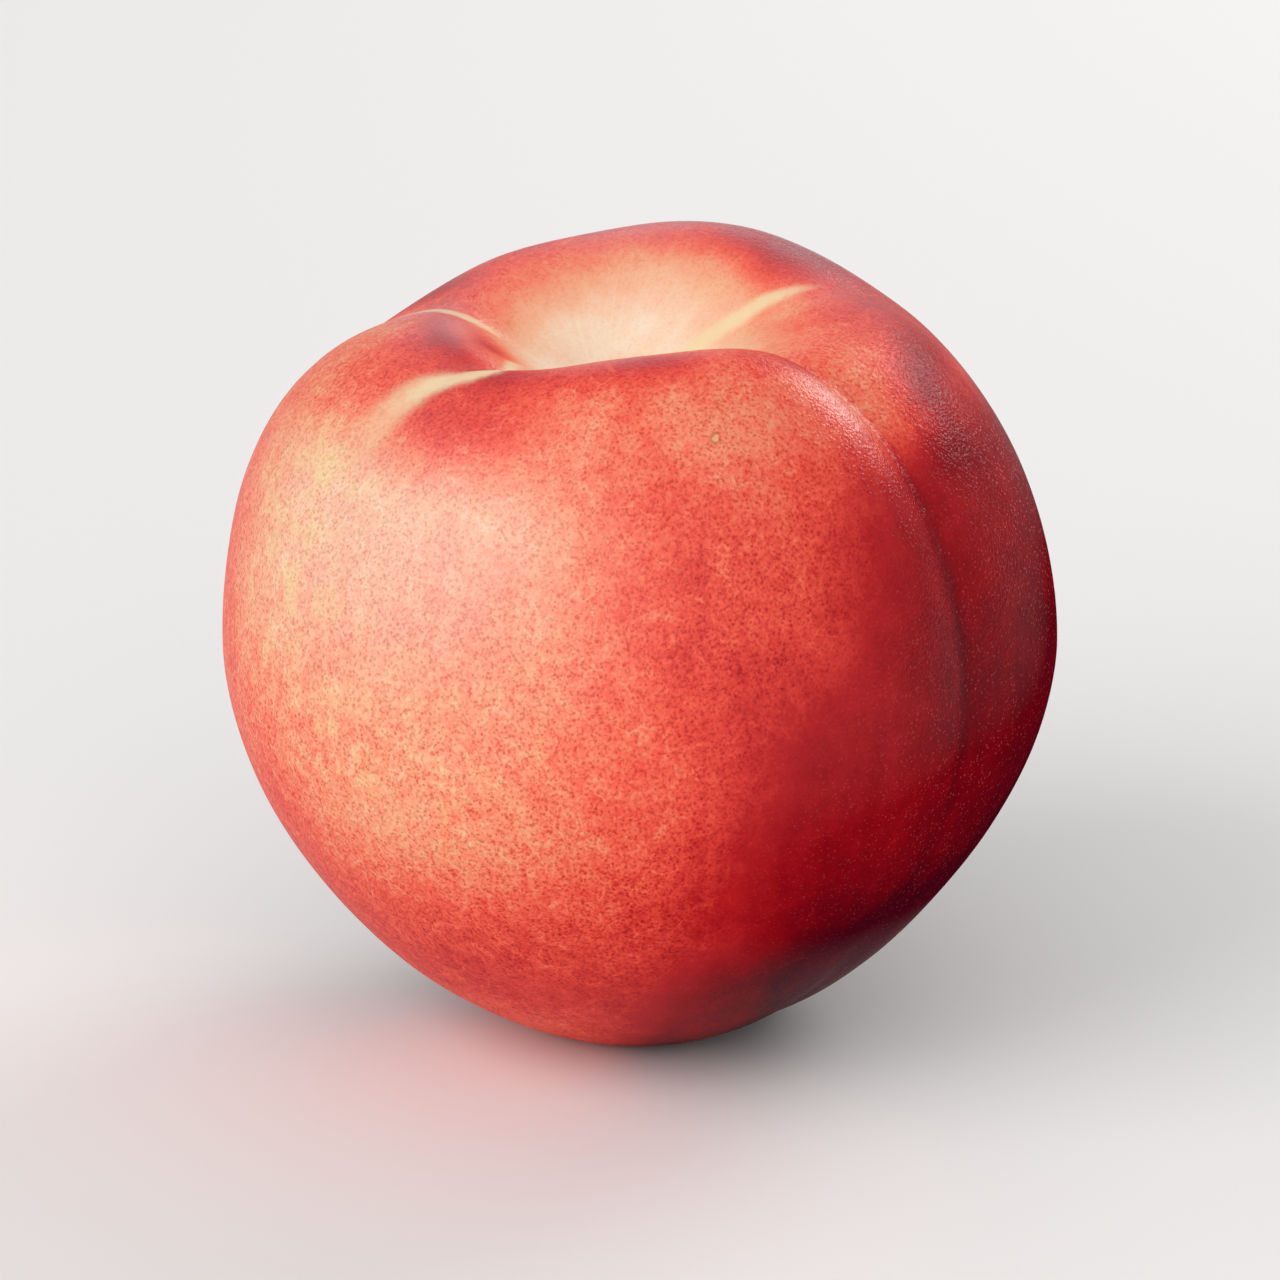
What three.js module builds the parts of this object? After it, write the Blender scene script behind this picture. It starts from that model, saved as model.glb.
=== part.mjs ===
// A ripe nectarine standing upright on its blossom end. Millimetres, +Z up.
//
// The fruit is one closed solid. Its skin is a dome of rings that is shaped in this order:
// a plump body that narrows downwards, a stem hollow, low swellings, creases that run out of
// the hollow, a stem end that lies a little off the axis, and a flat that the fruit stands on.
//
// Directions on the fruit are given by two angles in degrees:
//   polar   - from the stem axis (0 at the stem, 90 at the widest level, 180 at the blossom end)
//   azimuth - around the axis from the seam's side (-Y), turning towards +X
// Heights inside the shaping functions are counted from the widest level. At the end the whole
// fruit is moved so that the origin is the middle of the underside of its bounding box.

import * as THREE from 'three';

// ---- body ----
const HALF_WIDTH = 35.0;         // skin to axis at the widest level
const OVAL = 0.012;              // share by which it is wider along X, and narrower along Y
const DOME_HEIGHT = 36.1;        // widest level to the top of the dome, before the hollow is sunk
const BASE_DEPTH = 34.7;         // widest level to the blossom end, before it is flattened
const BASE_TAPER = 0.15;         // share of its width that the lower half has lost at the end
const TAPER_POWER = 1.4;         // how late in the lower half the narrowing comes
const PUSH_CENTRE = -4;          // height of the point that swellings and creases push from

// ---- foot ----
const FOOT_DEPTH = 33.2;         // widest level to the flat that it stands on
const FOOT_BLEND = 0.6;          // height over which the flat runs into the round of the base
const BLOSSOM_SCAR = { radius: 2.8, depth: 0.7 };

// ---- stem end ----
const STEM_LEAN = { shift: 2.8, azimuth: -137, reach: 26 }; // mm, direction, polar spread
const HOLLOW = {
  length: 1.08,                  // it is longer than it is wide by this factor
  lengthAzimuth: 40,             // along this direction
  bowl: { depth: 11.0, radius: 13.0, steepness: 3 },
  funnel: { depth: 3.5, radius: 5.0, steepness: 2 },
  scar: { depth: -0.9, radius: 1.9, steepness: 4 }, // the stem's scar stands up a little
};

// ---- low swellings: lift in mm at the middle, spreads in degrees ----
const SWELLINGS = [
  { azimuth: -80, polar: 27, spreadAzimuth: 24, spreadPolar: 13, lift: -1.5 }, // near rim
  { azimuth: -14, polar: 27, spreadAzimuth: 24, spreadPolar: 13, lift: 0.6 }, // rim by the seam
  { azimuth: 32, polar: 27, spreadAzimuth: 22, spreadPolar: 13, lift: -0.9 }, // rim past the seam
  { azimuth: 108, polar: 29, spreadAzimuth: 34, spreadPolar: 15, lift: 1.3 }, // high back rim
  { azimuth: -128, polar: 30, spreadAzimuth: 20, spreadPolar: 14, lift: -1.0 }, // low lobe
  { azimuth: -137, polar: 56, spreadAzimuth: 40, spreadPolar: 24, lift: 1.4 }, // full shoulder
  { azimuth: 43, polar: 125, spreadAzimuth: 50, spreadPolar: 24, lift: -0.4 }, // lean lower cheek
];

// ---- creases ----
// Each value is a track of [polar angle, value] points that the crease follows on its way down.
// before / after: how far its two flanks reach, in mm, at lower and at higher azimuth.
// rounding: share of a flank that the bottom of the crease is rounded over.
const CREASES = [
  { // the seam, all the way from the hollow to the blossom end
    azimuth: [[0, 2], [20, 4], [32, 6], [46, 7], [60, 7.5], [80, 6], [100, 4.5], [120, 2.5],
      [150, 1]],
    depth: [[0, 0], [10, 0.8], [20, 2.0], [34, 2.4], [48, 1.9], [75, 1.2], [100, 0.9],
      [125, 0.55], [150, 0.5], [172, 0.4], [180, 0]],
    before: [[0, 2.0], [25, 3.6], [42, 3.2], [60, 4.2], [80, 4.8], [120, 3.6], [180, 2.0]],
    after: [[0, 2.0], [25, 5.0], [45, 6.0], [80, 5.0], [180, 3.0]],
    rounding: 0.15,
  },
  { // short crease past the seam
    azimuth: [[0, 60], [180, 60]],
    depth: [[0, 0], [8, 0.8], [18, 1.4], [30, 0.8], [46, 0]],
    before: [[0, 1.6], [20, 2.8], [45, 4.0]],
    after: [[0, 1.6], [20, 2.8], [45, 4.0]],
    rounding: 0.5,
  },
  { // longer crease before the seam
    azimuth: [[0, -84], [14, -86], [24, -96], [32, -104], [46, -103]],
    depth: [[0, 0], [8, 0.8], [20, 2.4], [32, 2.2], [46, 0.9], [62, 0]],
    before: [[0, 1.6], [20, 3.2], [45, 5.0]],
    after: [[0, 1.6], [20, 3.2], [45, 5.0]],
    rounding: 0.5,
  },
  { // broad saddle opposite the seam
    azimuth: [[0, -160], [180, -166]],
    depth: [[0, 0], [8, 0.5], [20, 2.4], [34, 2.7], [50, 1.3], [68, 0]],
    before: [[0, 1.6], [20, 4.0], [45, 7.0]],
    after: [[0, 1.6], [20, 4.0], [45, 7.0]],
    rounding: 0.6,
  },
];
const CREASE_SHARPNESS = 1.35;   // how fast a flank falls into its crease

// ---- mesh ----
const SECTORS = 80;
const SECTOR_CROWDING = 0.5;     // 0 spaces the sectors evenly, more draws them to the seam
const RING_BANDS = [             // polar angle where each band ends, and its number of rings
  { to: 46, rings: 19 },
  { to: 150, rings: 16 },
  { to: 180, rings: 10 },
];
const SKIN_COLOUR = 0xd2453a;

const DEG = Math.PI / 180;
const bell = (x, spread) => Math.exp(-((x / spread) ** 2));
const turnBetween = (a, b) => ((((a - b + 180) % 360) + 360) % 360) - 180;

function smoothstep(from, to, x) {
  const t = Math.min(Math.max((x - from) / (to - from), 0), 1);
  return t * t * (3 - 2 * t);
}

// Slope of a track at one of its points: none at its ends or where it turns back.
function slopeAt(track, i) {
  if (i === 0 || i === track.length - 1) return 0;
  const [[x0, y0], [, y1], [x2, y2]] = [track[i - 1], track[i], track[i + 1]];
  return (y2 - y1) * (y1 - y0) <= 0 ? 0 : (y2 - y0) / (x2 - x0);
}

// Value of a track at x, on a smooth curve through its points and level beyond its ends.
function along(track, x) {
  const last = track.length - 1;
  if (x <= track[0][0]) return track[0][1];
  if (x >= track[last][0]) return track[last][1];
  const i = track.findIndex(([at]) => at > x) - 1;
  const [[x0, y0], [x1, y1]] = [track[i], track[i + 1]];
  const run = x1 - x0;
  const t = (x - x0) / run;
  const ease = t * t * (3 - 2 * t);
  const leaving = t * (1 - t) * (1 - t) * run * slopeAt(track, i);
  const arriving = t * t * (t - 1) * run * slopeAt(track, i + 1);
  return y0 + (y1 - y0) * ease + leaving + arriving;
}

// Point of the plump body before anything is pressed into it.
function bodyPoint(polar, azimuth) {
  const level = Math.cos(polar * DEG);
  const lower = Math.max(-level, 0);
  const spread = HALF_WIDTH * Math.sin(polar * DEG) * (1 - BASE_TAPER * lower ** TAPER_POWER);
  return new THREE.Vector3(
    spread * Math.sin(azimuth * DEG),
    -spread * Math.cos(azimuth * DEG),
    level * (level > 0 ? DOME_HEIGHT : BASE_DEPTH),
  );
}

// Distance from the middle of the stem hollow, measured so that its long shape is a circle.
function distanceFromHollow({ x, y }) {
  const turn = HOLLOW.lengthAzimuth * DEG;
  const lengthwise = (x * Math.sin(turn) - y * Math.cos(turn)) / HOLLOW.length;
  const across = x * Math.cos(turn) + y * Math.sin(turn);
  return Math.hypot(lengthwise, across);
}

function sinkHollow(point) {
  if (point.z <= 0) return;
  const away = distanceFromHollow(point);
  for (const { depth, radius, steepness } of [HOLLOW.bowl, HOLLOW.funnel, HOLLOW.scar]) {
    point.z -= depth * Math.exp(-((away / radius) ** steepness));
  }
}

// Moves a point along the line from the push centre by so many mm, outwards if positive.
function pushOut(point, distance) {
  point.z -= PUSH_CENTRE;
  point.multiplyScalar(1 + distance / point.length());
  point.z += PUSH_CENTRE;
}

function swellingAt(swelling, polar, azimuth) {
  const around = turnBetween(azimuth, swelling.azimuth);
  return swelling.lift * bell(around, swelling.spreadAzimuth)
    * bell(polar - swelling.polar, swelling.spreadPolar);
}

// Depth of a crease at a point that lies so far from the axis.
function creaseAt(crease, polar, azimuth, spread) {
  const turn = turnBetween(azimuth, along(crease.azimuth, polar)) * DEG;
  const aside = spread * Math.sin(turn);
  const flank = aside / along(aside < 0 ? crease.before : crease.after, polar);
  const rounded = Math.hypot(flank, crease.rounding) - crease.rounding;
  const sameSide = smoothstep(-0.2, 0.5, Math.cos(turn));
  return along(crease.depth, polar) * Math.exp(-CREASE_SHARPNESS * rounded) * sameSide;
}

function leanStemEnd(point, polar) {
  const shift = STEM_LEAN.shift * bell(polar, STEM_LEAN.reach);
  point.x += shift * Math.sin(STEM_LEAN.azimuth * DEG);
  point.y -= shift * Math.cos(STEM_LEAN.azimuth * DEG);
}

// Flattens what would reach below the foot, and dents the blossom scar into the flat.
function settleOnFoot(point) {
  if (point.z > 0) return;
  const over = point.z + FOOT_DEPTH;
  if (over < FOOT_BLEND) {
    point.z = Math.max(over + FOOT_BLEND, 0) ** 2 / (4 * FOOT_BLEND) - FOOT_DEPTH;
  }
  const away = Math.hypot(point.x, point.y);
  point.z += BLOSSOM_SCAR.depth * smoothstep(BLOSSOM_SCAR.radius, 0, away);
}

function skinPoint(polar, azimuth) {
  const point = bodyPoint(polar, azimuth);
  const spread = Math.hypot(point.x, point.y);
  sinkHollow(point);
  point.x *= 1 + OVAL;
  point.y *= 1 - OVAL;
  for (const swelling of SWELLINGS) pushOut(point, swellingAt(swelling, polar, azimuth));
  for (const crease of CREASES) pushOut(point, -creaseAt(crease, polar, azimuth, spread));
  leanStemEnd(point, polar);
  settleOnFoot(point);
  return point;
}

// Polar angles of the rings between the two poles.
function ringAngles() {
  const angles = [];
  let from = 0;
  for (const { to, rings } of RING_BANDS) {
    for (let i = 1; i <= rings; i += 1) angles.push(from + ((to - from) * i) / rings);
    from = to;
  }
  angles.pop();
  return angles;
}

// Azimuths of the sectors, closest together at the seam.
function sectorAngles() {
  return Array.from({ length: SECTORS }, (_, i) => {
    const share = i / SECTORS;
    const drawn = share - (SECTOR_CROWDING * Math.sin(2 * Math.PI * share)) / (2 * Math.PI);
    return 360 * drawn;
  });
}

// Triangles of the closed skin: a fan at each pole and pairs of triangles between rings.
function skinTriangles(ringCount) {
  const stemPole = ringCount * SECTORS;
  const blossomPole = stemPole + 1;
  const triangles = [];
  for (let s = 0; s < SECTORS; s += 1) {
    const next = (s + 1) % SECTORS;
    const lastRing = (ringCount - 1) * SECTORS;
    triangles.push(stemPole, s, next);
    triangles.push(blossomPole, lastRing + next, lastRing + s);
    for (let r = 0; r + 1 < ringCount; r += 1) {
      const upper = r * SECTORS;
      const lower = upper + SECTORS;
      triangles.push(upper + s, lower + s, lower + next);
      triangles.push(upper + s, lower + next, upper + next);
    }
  }
  return triangles;
}

function buildSkin() {
  const rings = ringAngles();
  const sectors = sectorAngles();
  const points = rings.flatMap((polar) => sectors.map((azimuth) => skinPoint(polar, azimuth)));
  points.push(skinPoint(0, 0), skinPoint(180, 0));
  const geometry = new THREE.BufferGeometry().setFromPoints(points);
  geometry.setIndex(skinTriangles(rings.length));
  geometry.computeBoundingBox();
  const { min, max } = geometry.boundingBox;
  geometry.translate(-(min.x + max.x) / 2, -(min.y + max.y) / 2, -min.z);
  geometry.computeVertexNormals();
  return geometry;
}

const nectarine = new THREE.Mesh(
  buildSkin(),
  new THREE.MeshStandardMaterial({ color: SKIN_COLOUR, roughness: 0.4, metalness: 0 }),
);
nectarine.name = 'nectarine';

const group = new THREE.Group();
group.name = 'nectarine_part';
group.add(nectarine);

export default group;
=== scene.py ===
"""A ripe nectarine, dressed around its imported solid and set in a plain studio.

Blender works in metres, in the part's own frame: +Z up, with the fruit standing on its blossom
end at the origin. The fruit's own sizes are given in millimetres.

Directions on the fruit are two angles in degrees:
    polar:   from the stem axis, 0 at the stem, 90 at the widest level, 180 at the blossom end
    azimuth: around the axis from the seam's side (-Y), turning towards +X
"""

import logging
import math
from dataclasses import dataclass, field
from enum import Enum

import bmesh
import bpy
import numpy as np
from bpy.types import (
    ID, Material, Mesh, Node, NodeSocket, NodeTree, Object, World, bpy_prop_collection,
)
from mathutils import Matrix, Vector, noise
from numpy.typing import NDArray


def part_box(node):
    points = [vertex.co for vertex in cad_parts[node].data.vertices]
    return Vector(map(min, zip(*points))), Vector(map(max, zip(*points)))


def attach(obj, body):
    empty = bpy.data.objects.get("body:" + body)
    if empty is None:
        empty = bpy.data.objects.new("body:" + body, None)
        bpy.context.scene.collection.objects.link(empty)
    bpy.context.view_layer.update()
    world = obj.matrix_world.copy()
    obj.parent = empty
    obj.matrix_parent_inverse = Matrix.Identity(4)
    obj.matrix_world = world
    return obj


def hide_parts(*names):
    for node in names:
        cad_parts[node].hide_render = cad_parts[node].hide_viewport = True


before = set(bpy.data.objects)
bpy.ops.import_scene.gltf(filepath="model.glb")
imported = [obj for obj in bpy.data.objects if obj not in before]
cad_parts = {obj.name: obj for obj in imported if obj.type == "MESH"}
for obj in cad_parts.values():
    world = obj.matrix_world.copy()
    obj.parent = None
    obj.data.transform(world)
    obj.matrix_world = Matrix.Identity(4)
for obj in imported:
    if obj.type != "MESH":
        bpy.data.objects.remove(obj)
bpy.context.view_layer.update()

LOG = logging.getLogger("nectarine")
MM = 0.001
NODE = "nectarine"
BODY = "root"
PIECE = "nectarine_skin"
BAKE_MAP = "OFBake"

Values = NDArray[np.float64]
Points = NDArray[np.float64]
Colour = tuple[float, float, float, float]
Feed = Node | NodeSocket


# ---- small maths


def smoothstep(start: float, end: float, x: Values) -> Values:
    """Rises smoothly from 0 at start to 1 at end, or falls if end is the smaller.

    Args:
        start: Where the result is still 0.
        end: Where the result has reached 1.
        x: The values to ease.

    Returns:
        One value from 0 to 1 for each x.
    """
    t = np.clip((x - start) / (end - start), 0, 1)
    return t * t * (3 - 2 * t)


def bell(x: Values, spread: float) -> Values:
    """Height of a bell curve that is 1 at 0 and about a third at the spread."""
    return np.exp(-((x / spread) ** 2))


def turn_between(a: Values, b: Values | float) -> Values:
    """Signed turn from b to a in degrees, from -180 to 180."""
    return (a - b + 180) % 360 - 180


def drawn_to_ends(share: Values, crowding: float) -> Values:
    """Shares from 0 to 1, or -0.5 to 0.5, drawn towards the whole numbers by so much."""
    return share - crowding * np.sin(2 * np.pi * share) / (2 * np.pi)


def bearing(azimuth: float, elevation: float) -> Vector:
    """Unit vector towards an azimuth and an elevation above the horizon, in degrees."""
    a, e = math.radians(azimuth), math.radians(elevation)
    return Vector((math.sin(a) * math.cos(e), -math.cos(a) * math.cos(e), math.sin(e)))


@dataclass(frozen=True)
class Track:
    """A smooth curve through a few points, level beyond its ends.

    Attributes:
        points: Pairs of (x, value), with x rising.
    """

    points: tuple[tuple[float, float], ...]

    def slopes(self) -> Values:
        """Slope at each point: none at the ends and where the values turn back."""
        xs, ys = np.array(self.points, float).T
        found = np.zeros_like(xs)
        for k in range(1, len(xs) - 1):
            if (ys[k + 1] - ys[k]) * (ys[k] - ys[k - 1]) > 0:
                found[k] = (ys[k + 1] - ys[k - 1]) / (xs[k + 1] - xs[k - 1])
        return found

    def at(self, x: Values) -> Values:
        """Value of the curve.

        Args:
            x: Where to read the curve.

        Returns:
            One value for each x.
        """
        xs, ys = np.array(self.points, float).T
        slopes = self.slopes()
        x = np.clip(x, xs[0], xs[-1])
        i = np.clip(np.searchsorted(xs, x, side="right") - 1, 0, len(xs) - 2)
        run = xs[i + 1] - xs[i]
        t = (x - xs[i]) / run
        ease = t * t * (3 - 2 * t)
        leaving = t * (1 - t) ** 2 * run * slopes[i]
        arriving = t * t * (t - 1) * run * slopes[i + 1]
        return ys[i] + (ys[i + 1] - ys[i]) * ease + leaving + arriving


def level_track(value: float) -> Track:
    """A track that has the same value all the way."""
    return Track(((0, value), (180, value)))


# ---- the fruit's form


@dataclass(frozen=True)
class Dent:
    """A round dent in the top of the fruit.

    Attributes:
        depth: In mm at the middle, negative where it stands up.
        radius: In mm, where about a third of the depth is left.
        steepness: 2 is a bell, more gives a flatter bottom and steeper walls.
    """

    depth: float
    radius: float
    steepness: float


@dataclass(frozen=True)
class Hollow:
    """The hollow round the stem's scar.

    Attributes:
        length: How many times longer it is than wide.
        length_azimuth: The direction in which it is longer.
        dents: The dents that it is made of: bowl, funnel and scar.
    """

    length: float = 1.08
    length_azimuth: float = 40
    dents: tuple[Dent, ...] = (Dent(11.0, 13.0, 3), Dent(3.5, 5.0, 2), Dent(-0.9, 1.9, 4))

    def away(self, points: Points) -> Values:
        """Distance in mm from its middle, measured so that its long shape is a circle."""
        turn = math.radians(self.length_azimuth)
        x, y = points[:, 0], points[:, 1]
        lengthwise = (x * math.sin(turn) - y * math.cos(turn)) / self.length
        across = x * math.cos(turn) + y * math.sin(turn)
        return np.hypot(lengthwise, across)

    def sink(self, points: Points) -> None:
        """Lowers the points of the upper half that lie in it."""
        upper = points[:, 2] > 0
        away = self.away(points)
        for dent in self.dents:
            fall = dent.depth * np.exp(-((away / dent.radius) ** dent.steepness))
            points[upper, 2] -= fall[upper]


@dataclass(frozen=True)
class Patch:
    """A soft oval patch of the skin, used for swellings and for washes of colour.

    Attributes:
        azimuth: Of its middle.
        polar: Of its middle.
        spread_azimuth: In degrees, where about a third of it is left.
        spread_polar: The same, along the fruit.
        amount: At the middle: mm for a swelling, a share for a wash.
    """

    azimuth: float
    polar: float
    spread_azimuth: float
    spread_polar: float
    amount: float

    def at(self, polar: Values, azimuth: Values) -> Values:
        """Amount of the patch at each pair of angles."""
        around = bell(turn_between(azimuth, self.azimuth), self.spread_azimuth)
        return self.amount * around * bell(polar - self.polar, self.spread_polar)


def patches(*rows: tuple[float, ...]) -> tuple[Patch, ...]:
    """Patches whose values are given in the order of their fields."""
    return tuple(Patch(*row) for row in rows)


@dataclass(frozen=True)
class Crease:
    """A crease that runs down from the hollow. Its tracks are read by the polar angle.

    Attributes:
        azimuth: The way it takes.
        depth: In mm.
        before: Reach of its flank at lower azimuth, in mm.
        after: Reach of its flank at higher azimuth, in mm.
        rounding: Share of a flank that its bottom is rounded over.
    """

    azimuth: Track
    depth: Track
    before: Track
    after: Track
    rounding: float

    def at(self, polar: Values, azimuth: Values, spread: Values, sharpness: float) -> Values:
        """Depth of the crease.

        Args:
            polar: Polar angles.
            azimuth: Azimuths.
            spread: Distance of the points from the axis in mm.
            sharpness: How fast a flank falls into the crease.

        Returns:
            Depth in mm at each point.
        """
        turn = np.radians(turn_between(azimuth, self.azimuth.at(polar)))
        aside = spread * np.sin(turn)
        reach = np.where(aside < 0, self.before.at(polar), self.after.at(polar))
        rounded = np.hypot(aside / reach, self.rounding) - self.rounding
        same_side = smoothstep(-0.2, 0.5, np.cos(turn))
        return self.depth.at(polar) * np.exp(-sharpness * rounded) * same_side


SEAM = Crease(
    azimuth=Track(((0, 2), (20, 4), (32, 6), (46, 7), (60, 7.5), (80, 6), (100, 4.5),
                   (120, 2.5), (150, 1))),
    depth=Track(((0, 0), (10, 0.8), (20, 2.0), (34, 2.4), (48, 1.9), (75, 1.2), (100, 0.9),
                 (125, 0.55), (150, 0.5), (172, 0.4), (180, 0))),
    before=Track(((0, 2), (25, 3.6), (42, 3.2), (60, 4.2), (80, 4.8), (120, 3.6), (180, 2))),
    after=Track(((0, 2), (25, 5), (45, 6), (80, 5), (180, 3))),
    rounding=0.15,
)
SHORT_FLANK = Track(((0, 1.6), (20, 2.8), (45, 4.0)))
SHORT_CREASE = Crease(
    azimuth=level_track(60),
    depth=Track(((0, 0), (8, 0.8), (18, 1.4), (30, 0.8), (46, 0))),
    before=SHORT_FLANK,
    after=SHORT_FLANK,
    rounding=0.5,
)
LONG_FLANK = Track(((0, 1.6), (20, 3.2), (45, 5.0)))
LONG_CREASE = Crease(
    azimuth=Track(((0, -84), (14, -86), (24, -96), (32, -104), (46, -103))),
    depth=Track(((0, 0), (8, 0.8), (20, 2.4), (32, 2.2), (46, 0.9), (62, 0))),
    before=LONG_FLANK,
    after=LONG_FLANK,
    rounding=0.5,
)
SADDLE_FLANK = Track(((0, 1.6), (20, 4.0), (45, 7.0)))
SADDLE = Crease(
    azimuth=Track(((0, -160), (180, -166))),
    depth=Track(((0, 0), (8, 0.5), (20, 2.4), (34, 2.7), (50, 1.3), (68, 0))),
    before=SADDLE_FLANK,
    after=SADDLE_FLANK,
    rounding=0.6,
)


@dataclass(frozen=True)
class FruitForm:
    """The whole fruit's form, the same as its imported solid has, in mm about its widest level."""

    half_width: float = 35.0
    oval: float = 0.012
    dome_height: float = 36.1
    base_depth: float = 34.7
    base_taper: float = 0.15
    taper_power: float = 1.4
    push_height: float = -4.0
    foot_depth: float = 33.2
    foot_blend: float = 0.6
    blossom_radius: float = 2.8
    blossom_depth: float = 0.7
    lean_shift: float = 2.8
    lean_azimuth: float = -137
    lean_reach: float = 26
    crease_sharpness: float = 1.35
    hollow: Hollow = Hollow()
    creases: tuple[Crease, ...] = (SEAM, SHORT_CREASE, LONG_CREASE, SADDLE)
    swellings: tuple[Patch, ...] = patches(
        (-80, 27, 24, 13, -1.5), (-14, 27, 24, 13, 0.6), (32, 27, 22, 13, -0.9),
        (108, 29, 34, 15, 1.3), (-128, 30, 20, 14, -1.0), (-137, 56, 40, 24, 1.4),
        (43, 125, 50, 24, -0.4),
    )

    def plump_body(self, polar: Values, azimuth: Values) -> Points:
        """Points of the body before anything is pressed into it."""
        level = np.cos(np.radians(polar))
        narrowing = 1 - self.base_taper * np.maximum(-level, 0) ** self.taper_power
        spread = self.half_width * np.sin(np.radians(polar)) * narrowing
        turn = np.radians(azimuth)
        height = np.where(level > 0, self.dome_height, self.base_depth)
        return np.stack((spread * np.sin(turn), -spread * np.cos(turn), level * height), -1)

    def push_out(self, points: Points, distance: Values) -> None:
        """Moves points outwards from the push centre by so many mm."""
        centre = np.array((0, 0, self.push_height))
        rays = points - centre
        rays *= (1 + distance / np.linalg.norm(rays, axis=1))[:, None]
        points[:] = centre + rays

    def lean_stem_end(self, points: Points, polar: Values) -> None:
        """Shifts the stem end a little off the axis."""
        shift = self.lean_shift * bell(polar, self.lean_reach)
        points[:, :2] += shift[:, None] * np.array(bearing(self.lean_azimuth, 0))[:2]

    def settle_on_foot(self, points: Points) -> None:
        """Flattens the blossom end and dents its scar into the flat."""
        lower = points[:, 2] < 0
        over = points[:, 2] + self.foot_depth
        flat = np.maximum(over + self.foot_blend, 0) ** 2 / (4 * self.foot_blend)
        low = lower & (over < self.foot_blend)
        points[low, 2] = flat[low] - self.foot_depth
        away = np.hypot(points[:, 0], points[:, 1])
        dent = self.blossom_depth * smoothstep(self.blossom_radius, 0, away)
        points[lower, 2] += dent[lower]

    def skin(self, polar: Values, azimuth: Values) -> Points:
        """Points of the finished skin.

        Args:
            polar: Polar angle of each point.
            azimuth: Azimuth of each point.

        Returns:
            One point in mm for each pair of angles, counted from the widest level.
        """
        points = self.plump_body(polar, azimuth)
        spread = np.hypot(points[:, 0], points[:, 1])
        self.hollow.sink(points)
        points[:, 0] *= 1 + self.oval
        points[:, 1] *= 1 - self.oval
        for swelling in self.swellings:
            self.push_out(points, swelling.at(polar, azimuth))
        for crease in self.creases:
            depth = crease.at(polar, azimuth, spread, self.crease_sharpness)
            self.push_out(points, -depth)
        self.lean_stem_end(points, polar)
        self.settle_on_foot(points)
        return points


# ---- what the skin is coloured by


class SkinMap(Enum):
    """Names of the values that the skin's mesh carries for its material."""

    BLUSH = "blush"
    CREAM = "cream"
    CORK = "cork"
    SPECKLE = "speckle"
    FRECKLE = "freckle"
    GLOSS = "gloss"
    # dusty bloom, partly painted sheen and highlight
    BLOOM = "bloom_and_sheen"
    GROUND = "ground"
    GRAIN = "grain"


@dataclass(frozen=True)
class Streak:
    """A streak of another colour along a course on the skin.

    Attributes:
        course: (polar, azimuth, half width in mm, strength from 0 to 1) of its points.
        marks: How many places along it are measured from.
        falloff: 2 is a bell across it, more gives it a flatter middle and steeper sides.
    """

    course: tuple[tuple[float, float, float, float], ...]
    marks: int = 120
    falloff: float = 2.3

    def at(self, form: FruitForm, points: Points) -> Values:
        """Strength of the streak.

        Args:
            form: The fruit's form, which the streak lies on.
            points: Points of the skin in mm.

        Returns:
            One strength for each point.
        """
        share = np.linspace(0, len(self.course) - 1, self.marks)
        polar, azimuth, width, strength = (
            np.interp(share, range(len(self.course)), column) for column in zip(*self.course)
        )
        found = np.zeros(len(points))
        for place, half, most in zip(form.skin(polar, azimuth), width, strength):
            away = np.linalg.norm(points - place, axis=1) / half
            found = np.maximum(found, most * np.exp(-(away**self.falloff)))
        return found


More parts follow.
